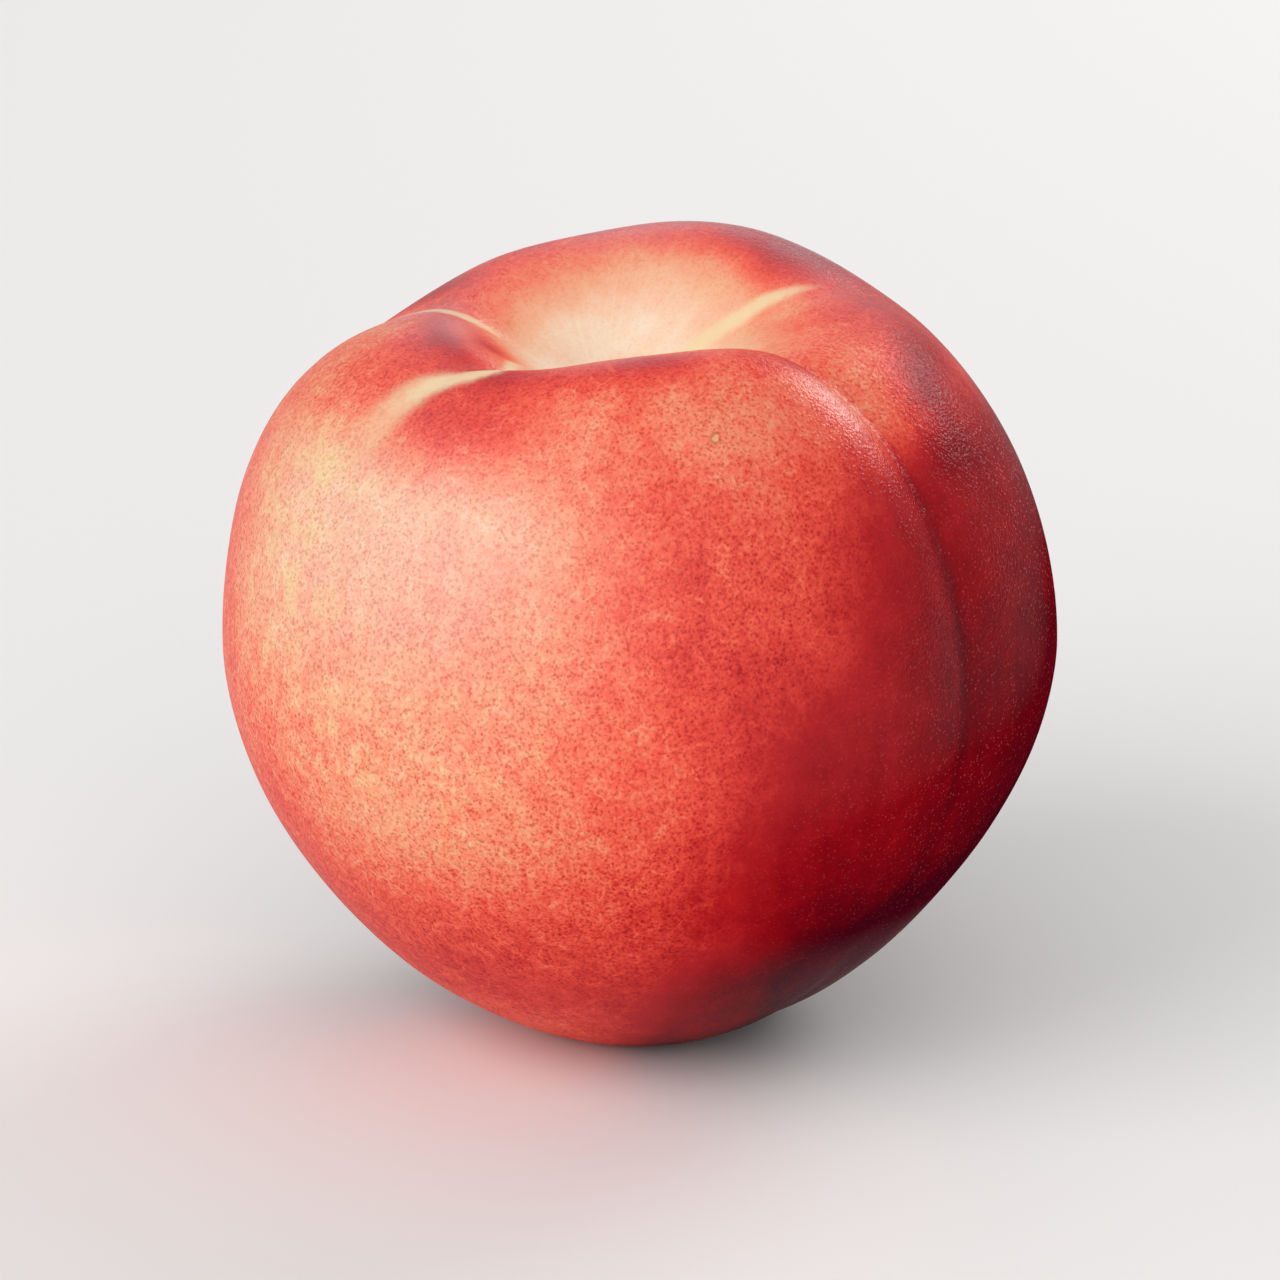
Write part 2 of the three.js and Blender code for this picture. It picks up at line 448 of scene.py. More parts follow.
@dataclass(frozen=True)
class SunBlush:
    """How far each place on the skin has turned from pale (0) to dark red (1).

    Attributes:
        crown: Blush round the top, by azimuth.
        cheeks: Blush round the upper cheeks, by azimuth.
        crown_edge: Polar angles over which the crown passes into the cheeks.
        down: What is added to both, by polar angle; the redder bottom is partly painted shade.
        washes: Patches that are redder or paler.
        hollow: Blush inside the hollow, by polar angle.
        hollow_edge: Polar angles over which the hollow passes into the crown.
        shoulder: Where one side of the hollow is as red as the crown.
    """

    crown: Track = Track((
        (-180, 0.50), (-166, 0.42), (-150, 0.42), (-135, 0.40), (-120, 0.52), (-104, 0.51),
        (-86, 0.59), (-70, 0.51), (-50, 0.48), (-30, 0.39), (-14, 0.45), (-3, 0.47),
        (8, 0.38), (28, 0.39), (50, 0.61), (80, 0.69), (125, 0.52), (180, 0.50),
    ))
    cheeks: Track = Track((
        (-180, 0.60), (-155, 0.48), (-130, 0.24), (-112, 0.07), (-95, 0.06), (-75, 0.09),
        (-62, 0.16), (-50, 0.31), (-38, 0.43), (-25, 0.41), (-12, 0.53), (0, 0.64),
        (12, 0.65), (30, 0.69), (70, 0.80), (110, 0.78), (145, 0.66), (180, 0.60),
    ))
    crown_edge: tuple[float, float] = (42, 58)
    # partly real red and partly painted shade: the steep rise past polar 100 darkens the underside
    down: Track = Track((
        (18, -0.07), (24, -0.02), (31, 0.09), (40, 0.01), (56, 0.12), (80, 0.22),
        (100, 0.28), (118, 0.48), (130, 0.56), (145, 0.47), (165, 0.47), (180, 0.45),
    ))
    washes: tuple[Patch, ...] = patches(
        (60, 24, 12, 8, -0.30), (34, 43, 15, 6, 0.31), (20, 53, 8, 5, 0.12), (25, 46, 7, 5, 0.15),
        (46, 50, 8, 5, -0.14), (105, 24.5, 28, 4, 0.09), (-110, 98, 18, 16, 0.15),
        (-42, 92, 14, 24, -0.11), (-24, 98, 12, 18, 0.14), (-45, 125, 16, 18, -0.22),
        (-33, 118, 9, 8, -0.06), (-22, 84, 7, 7, 0.05), (-84, 102, 14, 7, -0.04),
        (-38, 28, 14, 4, 0.23), (-130, 28, 22, 5, 0.20), (-58, 42, 10, 7, -0.14),
        (4, 114, 18, 12, -0.15), (-172, 40, 8, 8, 0.27), (-2, 34, 9, 3, 0.10),
    )
    hollow: Track = Track(((8, 0.04), (13, 0.07), (18, 0.22), (24, 0.37)))
    hollow_edge: tuple[float, float] = (19, 28)
    shoulder: Patch = Patch(-128, 19, 18, 6, 0.44)

    def at(self, polar: Values, azimuth: Values) -> Values:
        """Blush at each pair of angles, from 0 to 1."""
        crown = 1 - smoothstep(*self.crown_edge, polar)
        blush = self.crown.at(azimuth) * crown + self.cheeks.at(azimuth) * (1 - crown)
        blush += self.down.at(polar)
        for wash in self.washes:
            blush += wash.at(polar, azimuth)
        inside = 1 - smoothstep(*self.hollow_edge, polar)
        pale = self.hollow.at(polar) + self.shoulder.at(polar, azimuth)
        return np.clip(blush * (1 - inside) + pale * inside, 0, 1)


PALE_STREAKS = (
    Streak((
        (12, -132, 0.6, 0), (15, -117, 0.7, 0.6), (19, -104, 0.8, 0.85), (23, -97, 0.95, 0.9),
        (27, -92, 1.2, 0.95), (30.5, -91, 1.6, 0.95), (33, -95, 1.9, 0.95),
        (36.5, -101, 2.0, 0.95), (40, -103, 2.3, 0.80), (48, -104, 3.0, 0.45),
        (56, -99, 3.5, 0),
    )),
    Streak((
        (8, 72, 0.9, 0.3), (13, 71, 1.05, 0.8), (18, 69.5, 1.05, 0.85), (22, 68.5, 0.95, 0.85),
        (25, 66.5, 0.8, 0.75), (28, 65, 0.65, 0.45), (32, 65, 0.5, 0),
    )),
    Streak((
        (18, -159, 0.6, 0), (21, -156, 0.8, 0.6), (25, -153, 1.0, 0.9), (29, -152, 1.1, 0.95),
        (33, -153, 1.1, 0.9), (38, -157, 1.1, 0.5), (44, -162, 1.1, 0),
    )),
)
# painted shade: a slightly redder, darker line of blush along the seam's crease
SEAM_PAINTED_SHADE = Streak((
    (30, 5.5, 0.5, 0), (44, 7, 0.8, 0.05), (60, 7.5, 0.9, 0.06), (80, 6, 0.9, 0.05),
    (100, 4.5, 0.8, 0.03), (130, 2, 0.7, 0.01), (150, 1, 0.6, 0),
))


@dataclass(frozen=True)
class Coverage:
    """How strongly something shows over the skin, from 0 to 1.

    Attributes:
        plain: Its strength by polar angle.
        washes: Where it is stronger or weaker.
    """

    plain: Track
    washes: tuple[Patch, ...]

    def at(self, polar: Values, azimuth: Values) -> Values:
        """Strength at each pair of angles."""
        washes = sum(wash.at(polar, azimuth) for wash in self.washes)
        return np.clip(self.plain.at(polar) + washes, 0, 1)


DARK_GRAIN = Coverage(
    Track(((14, 0.15), (22, 0.35), (30, 0.70), (40, 0.80), (56, 0.85), (70, 0.95), (105, 1))),
    patches((-62, 62, 18, 14, -0.15), (-45, 84, 12, 14, -0.20), (-70, 44, 14, 8, -0.15)),
)
PALE_LENTICELS = Coverage(
    level_track(0.08),
    patches(
        (38, 58, 15, 24, 0.90), (6, 92, 18, 26, 0.18), (130, 80, 56, 46, 0.30),
        (-172, 96, 30, 34, 0.20),
    ),
)
WAX_SHINE = Coverage(
    level_track(0.38),
    patches(
        (-1, 42, 10, 6, 0.68), (17, 65, 5, 10, 0.10), (37, 79, 12, 12, -0.10),
        (104, 31, 46, 7, 0.60), (-148, 32, 28, 7, 0.50), (-52, 25, 34, 4, 0.50),
        (-82, 60, 26, 14, 0.24), (62, 88, 50, 36, -0.38), (0, 110, 54, 18, -0.55),
    ),
)
# partly real dusty bloom and partly painted sheen: the mauve-grey on the rims and the far lobe
# stands for reflection at grazing angles, and the patch on the left cheek for a highlight's veil
DUSTY_BLOOM_AND_PAINTED_SHEEN = Coverage(
    level_track(0),
    patches(
        (98, 31, 36, 6, 0.20), (130, 27, 20, 5, 0.14), (60, 36, 20, 8, 0.10),
        (-138, 31, 30, 9, 0.12), (-132, 25, 14, 4, 0.22), (-172, 33, 12, 7, 0.06),
        (-52, 26, 32, 4.5, 0.14), (-88, 64, 30, 18, 0.20), (155, 31, 34, 7, 0.16),
        (54, 58, 7, 14, 0.08),
    ),
)
YELLOW_GROUND = Coverage(
    level_track(0.15),
    patches(
        (-108, 66, 14, 18, 0.85), (-98, 94, 26, 14, 0.6), (-58, 96, 22, 20, 0.35),
        (-118, 46, 14, 8, 0.4), (-70, 64, 16, 12, -0.15),
    ),
)


@dataclass(frozen=True)
class SkinPattern:
    """What the skin's colours and gloss follow, place by place.

    Attributes:
        grain_lost: Share of the dark grain that is lost in the red.
        grain_red: Blush over which it is lost.
        grain_lift: How much less blush the skin has between its grain.
        stem_scar: Distances in mm from its middle over which the scar sets in.
        blossom_scar: The same at the other end.
        drawn_in: Share of the fruit's length that is left where noise runs lengthwise.
    """

    blush: SunBlush = SunBlush()
    streaks: tuple[Streak, ...] = PALE_STREAKS
    # painted shade along the seam's crease, added to the blush
    seam_painted_shade: Streak = SEAM_PAINTED_SHADE
    grain: Coverage = DARK_GRAIN
    grain_lost: float = 0.85
    grain_red: tuple[float, float] = (0.54, 0.78)
    grain_lift: float = 0.01
    lenticels: Coverage = PALE_LENTICELS
    shine: Coverage = WAX_SHINE
    # dusty bloom, partly painted sheen and highlight
    bloom_and_sheen: Coverage = DUSTY_BLOOM_AND_PAINTED_SHEEN
    ground: Coverage = YELLOW_GROUND
    stem_scar: tuple[float, float] = (2.8, 0.9)
    blossom_scar: tuple[float, float] = (1.8, 0.5)
    drawn_in: float = 0.14

    def scars(self, form: FruitForm, polar: Values, points: Points) -> Values:
        """Strength of the cork at both ends, from 0 to 1."""
        stem = np.array(bearing(form.lean_azimuth, 0))[:2] * form.lean_shift
        from_stem = np.hypot(*(points[:, :2] - stem).T)
        from_axis = np.hypot(points[:, 0], points[:, 1])
        upper = smoothstep(*self.stem_scar, from_stem)
        return np.where(polar < 90, upper, smoothstep(*self.blossom_scar, from_axis))

    def shares(self, form: FruitForm, polar: Values, azimuth: Values,
               points: Points) -> dict[SkinMap, Values]:
        """All that the material reads but the lengthwise places.

        Args:
            form: The fruit's form.
            polar: Polar angle of each point.
            azimuth: Azimuth of each point.
            points: The points in mm, counted from the widest level.

        Returns:
            One value for each point, for each map.
        """
        # the blush takes in the painted shade along the seam's crease
        blush = self.blush.at(polar, azimuth) + self.seam_painted_shade.at(form, points)
        left = 1 - self.grain_lost * smoothstep(*self.grain_red, blush)
        speckle = self.grain.at(polar, azimuth) * left
        return {
            SkinMap.BLUSH: blush - self.grain_lift * speckle,
            SkinMap.CREAM: np.max([streak.at(form, points) for streak in self.streaks], axis=0),
            SkinMap.CORK: self.scars(form, polar, points),
            SkinMap.SPECKLE: speckle,
            SkinMap.FRECKLE: self.lenticels.at(polar, azimuth),
            SkinMap.GLOSS: self.shine.at(polar, azimuth),
            SkinMap.BLOOM: self.bloom_and_sheen.at(polar, azimuth),
            SkinMap.GROUND: self.ground.at(polar, azimuth),
        }

    def lengthwise(self, form: FruitForm, polar: Values, azimuth: Values) -> Points:
        """Places in metres on a fruit with its length drawn in, for noise that runs lengthwise."""
        turn = np.radians(azimuth)
        along = np.radians(polar) * self.drawn_in
        return np.stack((np.cos(turn), np.sin(turn), along), -1) * form.half_width * MM


# ---- the fruit


def read_all(items: bpy_prop_collection, name: str, kind: type, width: int = 1) -> NDArray:
    """One property of all items in a flat array, with so many numbers for each."""
    found = np.empty(len(items) * width, kind)
    items.foreach_get(name, found)
    return found


@dataclass
class Nectarine:
    """The fruit's skin as one closed, finely divided mesh.

    Attributes:
        form: Its form.
        pattern: What its colours and gloss follow.
        mark: Polar angle and azimuth of the small healed mark near its top.
        mark_radius: Of that mark, in mm.
        sectors: Divisions around the axis.
        rings: Divisions from the stem to the blossom end.
        seam_crowding: How far the sectors draw together at the seam, below 1.
        pole_crowding: How far the rings draw together at both ends, below 1.
        ripple: (size, height) in mm of each gentle unevenness of the skin.
        even_foot: Polar angles over which the ripple dies out towards the foot.
        marked: Where the mark is once the fruit is built, in metres.
    """

    form: FruitForm = FruitForm()
    pattern: SkinPattern = SkinPattern()
    mark: tuple[float, float] = (44.0, -31.6)
    mark_radius: float = 0.75
    sectors: int = 384
    rings: int = 200
    seam_crowding: float = 0.5
    pole_crowding: float = 0.3
    ripple: tuple[tuple[float, float], ...] = ((16.0, 0.16), (6.0, 0.05))
    even_foot: tuple[float, float] = (140, 165)
    marked: Vector = field(init=False)

    def blank(self) -> Mesh:
        """A sphere of radius 1 whose vertices lie on even sectors and rings."""
        shell = bmesh.new()
        bmesh.ops.create_uvsphere(shell, u_segments=self.sectors, v_segments=self.rings, radius=1)
        mesh = bpy.data.meshes.new(PIECE)
        shell.to_mesh(mesh)
        shell.free()
        return mesh

    def even_shares(self, mesh: Mesh) -> tuple[Values, Values]:
        """Where each vertex of the blank lies.

        Args:
            mesh: The blank.

        Returns:
            Share of the way from stem to blossom end, and share of a turn from the seam,
            from -0.5 to 0.5, for each vertex.
        """
        x, y, z = read_all(mesh.vertices, "co", np.float32, 3).astype(float).reshape(-1, 3).T
        down = np.arctan2(np.hypot(x, y), z) / math.pi
        around = np.arctan2(x, -y) / (2 * math.pi)
        return down, around

    def add_bake_map(self, mesh: Mesh, down: Values, around: Values) -> None:
        """Lays the skin out flat for baking, cut along the side away from the seam.

        Args:
            mesh: The skin.
            down: Share of the way from stem to blossom end, for each vertex.
            around: Share of a turn from the seam, for each vertex.
        """
        corners = read_all(mesh.loops, "vertex_index", np.int32)
        sizes = read_all(mesh.polygons, "loop_total", np.int32)
        face = np.repeat(np.arange(len(sizes)), sizes)
        across = around[corners] + 0.5
        height = 1 - down[corners]
        at_pole = np.minimum(height, 1 - height) < 0.25 / self.rings
        # a face across the cut has corners at both ends of the map: its first ones move on
        last = np.zeros(len(sizes))
        np.maximum.at(last, face, np.where(at_pole, 0, across))
        across[(last[face] - across > 0.5) & ~at_pole] += 1
        # a pole has no place across, so each face puts it in the middle of its other corners
        total = np.bincount(face, np.where(at_pole, 0, across))
        across[at_pole] = (total / np.bincount(face, ~at_pole))[face[at_pole]]
        uv = mesh.uv_layers.new(name=BAKE_MAP)
        uv.data.foreach_set("uv", np.stack((across, height), -1).astype(np.float32).ravel())

    def add_values(self, mesh: Mesh, polar: Values, azimuth: Values, points: Points) -> None:
        """Stores what the material reads, for each vertex.

        Args:
            mesh: The skin.
            polar: Polar angle of each vertex.
            azimuth: Azimuth of each vertex.
            points: The vertices in mm, counted from the widest level.
        """
        for name, values in self.pattern.shares(self.form, polar, azimuth, points).items():
            kept = mesh.attributes.new(name.value, "FLOAT", "POINT")
            kept.data.foreach_set("value", values.astype(np.float32))
        lengthwise = self.pattern.lengthwise(self.form, polar, azimuth)
        kept = mesh.attributes.new(SkinMap.GRAIN.value, "FLOAT_VECTOR", "POINT")
        kept.data.foreach_set("vector", lengthwise.astype(np.float32).ravel())

    def ripple_skin(self, points: Points, polar: Values) -> None:
        """Makes the skin gently uneven, except at its foot."""
        calm = 1 - smoothstep(*self.even_foot, polar)
        lift = np.zeros(len(points))
        for size, height in self.ripple:
            lift += height * np.array([noise.noise(Vector(p / size)) for p in points])
        self.form.push_out(points, lift * calm)

    def way_to_solid(self, points: Points) -> NDArray:
        """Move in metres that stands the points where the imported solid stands."""
        low, high = (np.array(corner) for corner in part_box(NODE))
        mine_low, mine_high = points.min(0) * MM, points.max(0) * MM
        move = (low + high - mine_low - mine_high) / 2
        move[2] = low[2] - mine_low[2]
        return move

    def build(self) -> Object:
        """Makes the skin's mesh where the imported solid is.

        Returns:
            The new object, at the origin with its place in its mesh.
        """
        mesh = self.blank()
        down, around = self.even_shares(mesh)
        polar = 180 * drawn_to_ends(down, self.pole_crowding)
        azimuth = 360 * drawn_to_ends(around, self.seam_crowding)
        points = self.form.skin(polar, azimuth)
        self.add_bake_map(mesh, down, around)
        self.add_values(mesh, polar, azimuth, points)
        self.ripple_skin(points, polar)
        move = self.way_to_solid(points)
        marked = self.form.skin(*np.array(self.mark)[:, None])[0]
        self.marked = Vector(marked * MM + move)
        mesh.vertices.foreach_set("co", (points * MM + move).astype(np.float32).ravel())
        mesh.shade_smooth()
        mesh.update()
        piece = bpy.data.objects.new(PIECE, mesh)
        bpy.context.scene.collection.objects.link(piece)
        return piece


# ---- finishes


def linear(colour: str) -> Colour:
    """Turns an sRGB hex colour to Blender's linear RGBA.

    Args:
        colour: Such as "#f4a27c".

    Returns:
        Red, green, blue and an alpha of 1, each from 0 to 1.
    """
    parts = [int(colour[i : i + 2], 16) / 255 for i in (1, 3, 5)]
    made = [c / 12.92 if c <= 0.04045 else ((c + 0.055) / 1.055) ** 2.4 for c in parts]
    return (*made, 1.0)


def per_metre(size_mm: float) -> float:
    """Texture scale at which one cell of a pattern is so many mm."""
    return 1 / (size_mm * MM)


def cleared_tree(owner: Material | World) -> NodeTree:
    """Node tree of a material or a world, with nothing in it."""
    owner.use_nodes = True
    owner.node_tree.nodes.clear()
    return owner.node_tree


def add_node(tree: NodeTree, kind: str, feeds: dict | None = None, **settings: object) -> Node:
    """Adds a node, sets it up and links it.

    Args:
        tree: The node tree to add to.
        kind: Blender's name for the kind of node, without "ShaderNode".
        feeds: For an input's name or number, a plain value, or a socket or a node to link
            from, which gives its first output.
        **settings: Properties of the node.

    Returns:
        The new node.
    """
    made = tree.nodes.new("ShaderNode" + kind)
    for name, value in settings.items():
        setattr(made, name, value)
    for key, value in (feeds or {}).items():
        if isinstance(value, Node):
            value = value.outputs[0]
        if isinstance(value, NodeSocket):
            tree.links.new(value, made.inputs[key])
        else:
            made.inputs[key].default_value = value
    return made


SMOOTH = {"interpolation_type": "SMOOTHSTEP"}
PLUS = {"operation": "ADD"}
TIMES = {"operation": "MULTIPLY"}
TIMES_PLUS = {"operation": "MULTIPLY_ADD"}
# sockets of a Mix node that is set to colours
FACTOR, BELOW, ABOVE, MIXED = 0, 6, 7, 2


@dataclass(frozen=True)
class Fade:
    """How one value follows another: low at start, high at end and level beyond them."""

    start: float
    end: float
    low: float = 0.0
    high: float = 1.0

    def of(self, value: Feed) -> dict[str, object]:
        """What a Map Range node is fed."""
        return {"Value": value, "From Min": self.start, "From Max": self.end,
                "To Min": self.low, "To Max": self.high}


@dataclass(frozen=True)
class Grain:
    """A noise that mottles a value or lifts the skin.

    Attributes:
        size_mm: Size of its patches.
        detail: Octaves of finer noise on top.
        roughness: How strong these are.
    """

    size_mm: float
    detail: float
    roughness: float = 0.5

    def at(self, place: Feed) -> dict[str, object]:
        """What a Noise node is fed."""
        return {"Vector": place, "Scale": per_metre(self.size_mm), "Detail": self.detail,
                "Roughness": self.roughness}


@dataclass(frozen=True)
class Clouds:
    """A value that follows a noise.

    Attributes:
        grain: The noise.
        fade: How the value follows it.
        smooth: Whether it does so smoothly.
    """

    grain: Grain
    fade: Fade
    smooth: bool = False

    def build(self, tree: NodeTree, place: Feed) -> Node:
        """Adds its nodes and gives the last."""
        raw = add_node(tree, "TexNoise", self.grain.at(place))
        ease = SMOOTH if self.smooth else {}
        return add_node(tree, "MapRange", self.fade.of(raw), **ease)


def swing(size_mm: float, detail: float, amount: float) -> Clouds:
    """A noise of a size that swings by an amount to either side of zero."""
    return Clouds(Grain(size_mm, detail, 0.55), Fade(0.25, 0.75, -amount, amount))


@dataclass(frozen=True)
class Cells:
    """Cells of uneven shape, packed over the skin.

    Attributes:
        size_mm: Their spacing.
        wobble: Size of the noise that bends them, in spacings.
        detail: Octaves of finer noise in it.
        bend: How far it bends them, in spacings.
        feature: Blender's name for what is measured in them.
    """

    size_mm: float
    wobble: float
    detail: float
    bend: float
    feature: str = "F1"

    def build(self, tree: NodeTree, place: Feed) -> Node:
        """Adds its nodes and gives the last."""
        grain = Grain(self.size_mm * self.wobble, self.detail)
        noisy = add_node(tree, "TexNoise", grain.at(place)).outputs["Color"]
        bent = add_node(tree, "VectorMath", {
            0: noisy, 1: (self.size_mm * MM * self.bend,) * 3, 2: place}, **TIMES_PLUS)
        return add_node(tree, "TexVoronoi", {
            "Vector": bent, "Scale": per_metre(self.size_mm)}, feature=self.feature)


@dataclass(frozen=True)
class SkinReading:
    """What the skin's nodes read on the fruit.

    Attributes:
        tree: The material's nodes.
        place: The place in metres.
        lengthwise: The place on a fruit with its length drawn in.
        share: The value of each map.
        mark: Middle of the healed mark, in metres.
        mark_radius: Its radius, in metres.
    """

    tree: NodeTree
    place: NodeSocket
    lengthwise: NodeSocket
    share: dict[SkinMap, NodeSocket]
    mark: Vector
    mark_radius: float


class Blend(Enum):
    """How a colour lies over the one below it."""

    OVER = "MIX"
    SHADE = "MULTIPLY"


@dataclass(frozen=True)
class Layer:
    """A colour that lies over the ones below it, as strongly as its factors multiply up to."""

    factors: tuple[Feed, ...]
    colour: Colour | NodeSocket
    blend: Blend = Blend.OVER


@dataclass(frozen=True)
class WaxySkin:
    """A nectarine's smooth, hairless skin: thin wax over a pigmented, slightly clear skin.

    The eye sees a pale flesh-coloured ground with a fine dark grain that closes up into
    coral, crimson and maroon, pale streaks in the creases, pale lenticels on the dark side,
    and soft highlights that break into sparkles on the finely pitted wax.
    """

    # flesh-coloured ground to maroon, by ripeness
    ramp: tuple[tuple[float, str], ...] = (
        (0.00, "#fee6cc"), (0.16, "#fcc2a0"), (0.30, "#fba380"), (0.42, "#fd8063"),
        (0.53, "#f75c48"), (0.63, "#e23f36"), (0.73, "#bf1f24"), (0.83, "#990b17"),
        (0.92, "#700513"), (1.00, "#4a0415"),
    )

    # swings of the ripeness: broad ones, weaker in the red, and fine ones with the grain
    broad: tuple[Clouds, ...] = (swing(14.0, 2, 0.03), swing(3.2, 3, 0.05))
    lengthwise: Clouds = swing(1.6, 3, 0.02)
    broad_left: Fade = Fade(0.52, 0.78, 1.0, 0.55)
    fine: tuple[Clouds, ...] = (swing(0.9, 2, 0.06), swing(0.30, 1, 0.05))
    lace: Cells = Cells(2.3, 0.7, 2, 1.0, "DISTANCE_TO_EDGE")
    lace_line: Fade = Fade(0.09, 0.0, 0.0, -0.10)
    lace_left: Clouds = Clouds(Grain(2.99, 2), Fade(0.46, 0.62))

    # dark grain: pigment spots of about 0.1 mm, drawn at 0.3 mm, the finest that shows
    flecks: Cells = Cells(0.30, 0.6, 1, 0.9)
    fleck_spot: Fade = Fade(0.75, 0.20, 0.0, 0.9)
    fleck_strength: Clouds = Clouds(Grain(0.39, 2, 0.7), Fade(0.34, 0.68, 0.0, 1.3), True)
    fleck_ripeness: float = 0.12
    fleck_shade: str = "#e0d7c9"
    fleck_shade_left: Fade = Fade(0.42, 0.62, 1.0, 0.3)

    # yellow ground, in patches where the blush is thin
    ground: str = "#f8d596"
    ground_patches: Clouds = Clouds(Grain(2.4, 4, 0.6), Fade(0.42, 0.64, 0.1, 0.8), True)
    ground_thin: Fade = Fade(0.46, 0.18)

    # dusty bloom and painted sheen, thicker and thinner from place to place
    bloom_and_sheen: str = "#ceb8c0"
    bloom_and_sheen_swing: Clouds = swing(3.2, 4, 0.35)

    # pale streaks with slightly ragged sides
    streak: str = "#f5e0b2"
    streak_swing: Clouds = swing(0.9, 2, 0.10)
    streak_cover: Fade = Fade(0.12, 0.92, 0.0, 0.92)

    # lenticels, in shares of their spacing; they show on red skin only
    lenticel: str = "#f48080"
    lenticels: Cells = Cells(0.34, 0.5, 1, 0.4)
    lenticel_variety: float = 0.324
    lenticel_spot: Fade = Fade(0.45, 0.252)
    lenticel_on_red: Fade = Fade(0.55, 0.80, 0.0, 0.75)

    # healed mark: (share of its radius, colour, cover) of each ring
    healed_rings: tuple[tuple[float, str, float], ...] = (
        (1.0, "#b0682f", 0.42), (0.5, "#f8c48c", 0.70),
    )
    healed_full: float = 0.55  # share of a ring's size within which its cover is full
    healed_swing: Clouds = swing(0.5, 1, 0.25)

    # dry cork of the scars
    cork: str = "#b48c58"
    cork_dark: str = "#5c3c24"
    cork_grain: Grain = Grain(0.8, 4)
    cork_swing: Clouds = swing(1.2, 3, 0.30)
    cork_cover: Fade = Fade(0.38, 0.66)

    # wax: its real pits are under 0.1 mm, drawn at 0.3 mm so that they break up the light
    pits: Grain = Grain(0.30, 1)
    pit_depth_mm: float = 0.11
    peel: Grain = Grain(1.5, 2)
    peel_depth_mm: float = 0.08
    peel_strength: float = 0.5
    wax_roughness: float = 0.22
    wax_ior: float = 1.5

    # flesh-coloured light from just under the skin; the wax above does all the shining
    skin_roughness: float = 0.5
    skin_ior: float = 1.40
    clear_share: float = 0.12
    clear_depth_mm: float = 0.8
    clear_reach: tuple[float, float, float] = (1.0, 0.35, 0.2)

    def ripeness(self, on: SkinReading) -> Node:
        """The blush with its patches, mottling, lengthwise streaks, flecks and lace."""
        blush, speckle = on.share[SkinMap.BLUSH], on.share[SkinMap.SPECKLE]
        left = add_node(on.tree, "MapRange", self.broad_left.of(blush))
        layers = [(clouds.build(on.tree, on.place), left) for clouds in self.broad]
        layers.append((self.lengthwise.build(on.tree, on.lengthwise), left))
        layers += [(clouds.build(on.tree, on.place), speckle) for clouds in self.fine]
        layers.append((self.lacework(on), speckle))
        total = blush
        for layer, strength in layers:
            total = add_node(on.tree, "Math", {0: layer, 1: strength, 2: total}, **TIMES_PLUS)
        return total

    def lacework(self, on: SkinReading) -> Node:
        """Thin, curved, broken lines where the blush is paler, from -0.10 to 0."""
        edges = self.lace.build(on.tree, on.place).outputs["Distance"]
        lines = add_node(on.tree, "MapRange", self.lace_line.of(edges), **SMOOTH)
        left = self.lace_left.build(on.tree, on.place)
        return add_node(on.tree, "Math", {0: lines, 1: left}, **TIMES)

    def dark_grain(self, on: SkinReading) -> Node:
        """Fine, close-set dark flecks of uneven strength, scaled by the speckle map."""
        away = self.flecks.build(on.tree, on.place).outputs["Distance"]
        spots = add_node(on.tree, "MapRange", self.fleck_spot.of(away), **SMOOTH)
        uneven = self.fleck_strength.build(on.tree, on.place)
        each = add_node(on.tree, "Math", {0: spots, 1: uneven}, **TIMES)
        return add_node(on.tree, "Math", {0: each, 1: on.share[SkinMap.SPECKLE]}, **TIMES)

    def by_ripeness(self, on: SkinReading, ripe: Feed, dark: Feed) -> NodeSocket:
        """Colour of the skin by its ripeness, to which the dark grain adds."""
        grained = add_node(on.tree, "Math", {0: dark, 1: self.fleck_ripeness, 2: ripe},
                           **TIMES_PLUS)
        ramp = add_node(on.tree, "ValToRGB", {0: grained})
        stops = ramp.color_ramp.elements
        while len(stops) < len(self.ramp):
            stops.new(0.5)  # anywhere between the ends, until it is placed below
        for stop, (at, colour) in zip(stops, self.ramp):
            stop.position, stop.color = at, linear(colour)
        return ramp.outputs["Color"]

    def yellow_layer(self, on: SkinReading, ripe: Feed) -> Layer:
        """Patches of yellow ground."""
        uneven = self.ground_patches.build(on.tree, on.place)
        thin = add_node(on.tree, "MapRange", self.ground_thin.of(ripe))
        return Layer((uneven, on.share[SkinMap.GROUND], thin), linear(self.ground))

    def shade_layer(self, on: SkinReading, ripe: Feed, dark: Feed) -> Layer:
        """Shade of the dark grain, which shows best on pale skin."""
        left = add_node(on.tree, "MapRange", self.fleck_shade_left.of(ripe))
        return Layer((dark, left), linear(self.fleck_shade), Blend.SHADE)

    def bloom_and_sheen_layer(self, on: SkinReading) -> Layer:
        """The dusty bloom, partly painted sheen and highlight."""
        uneven = add_node(on.tree, "Math", {
            0: self.bloom_and_sheen_swing.build(on.tree, on.place), 1: 1.0}, **PLUS)
        return Layer((uneven, on.share[SkinMap.BLOOM]), linear(self.bloom_and_sheen))

    def streak_layer(self, on: SkinReading) -> Layer:
        """The pale streaks."""
        ragged = add_node(on.tree, "Math", {
            0: on.share[SkinMap.CREAM], 1: self.streak_swing.build(on.tree, on.place)}, **PLUS)
        cover = add_node(on.tree, "MapRange", self.streak_cover.of(ragged), **SMOOTH)
        return Layer((cover,), linear(self.streak))

